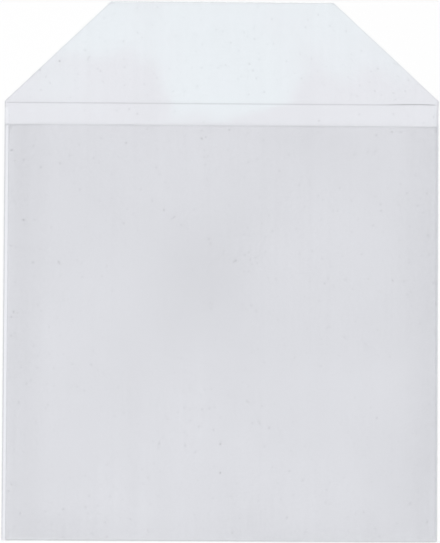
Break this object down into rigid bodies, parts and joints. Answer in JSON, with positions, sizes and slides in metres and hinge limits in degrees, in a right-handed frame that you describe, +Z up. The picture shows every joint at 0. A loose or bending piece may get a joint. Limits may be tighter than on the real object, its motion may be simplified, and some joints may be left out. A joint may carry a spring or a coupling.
{
  "type": "cd sleeve",
  "caption": "Clear film sleeve for an optical disc: a folded pocket with welded sides, open at its top, and a tapered flap that folds over the mouth.",
  "frame": {"origin": "under the middle of the open sleeve, on the surface that it lies on", "axes": "+X across the sleeve, +Y from the bottom fold to the flap's top edge, +Z up from the back film to the front film"},
  "size_m": [0.127, 0.1576, 0.0017],
  "materials": {
    "clear_film": "gloss",
    "folded_film": "gloss",
    "side_weld": "gloss"
  },
  "bodies": {
    "pocket": {"back_panel": "clear_film", "front_panel": "clear_film", "left_pocket_side": "clear_film", "right_pocket_side": "clear_film", "bottom_fold": "folded_film", "left_side_weld": "side_weld", "right_side_weld": "side_weld", "flap_crease": "folded_film"},
    "flap": {"flap": "clear_film"}
  },
  "joints": [
    {"name": "flap_fold", "type": "hinge", "parent": "pocket", "child": "flap", "pos_m": [0, 0.049, 0.00095], "axis": [1, 0, 0], "range_deg": [0, 180], "deforming": ["flap_crease"]}
  ]
}
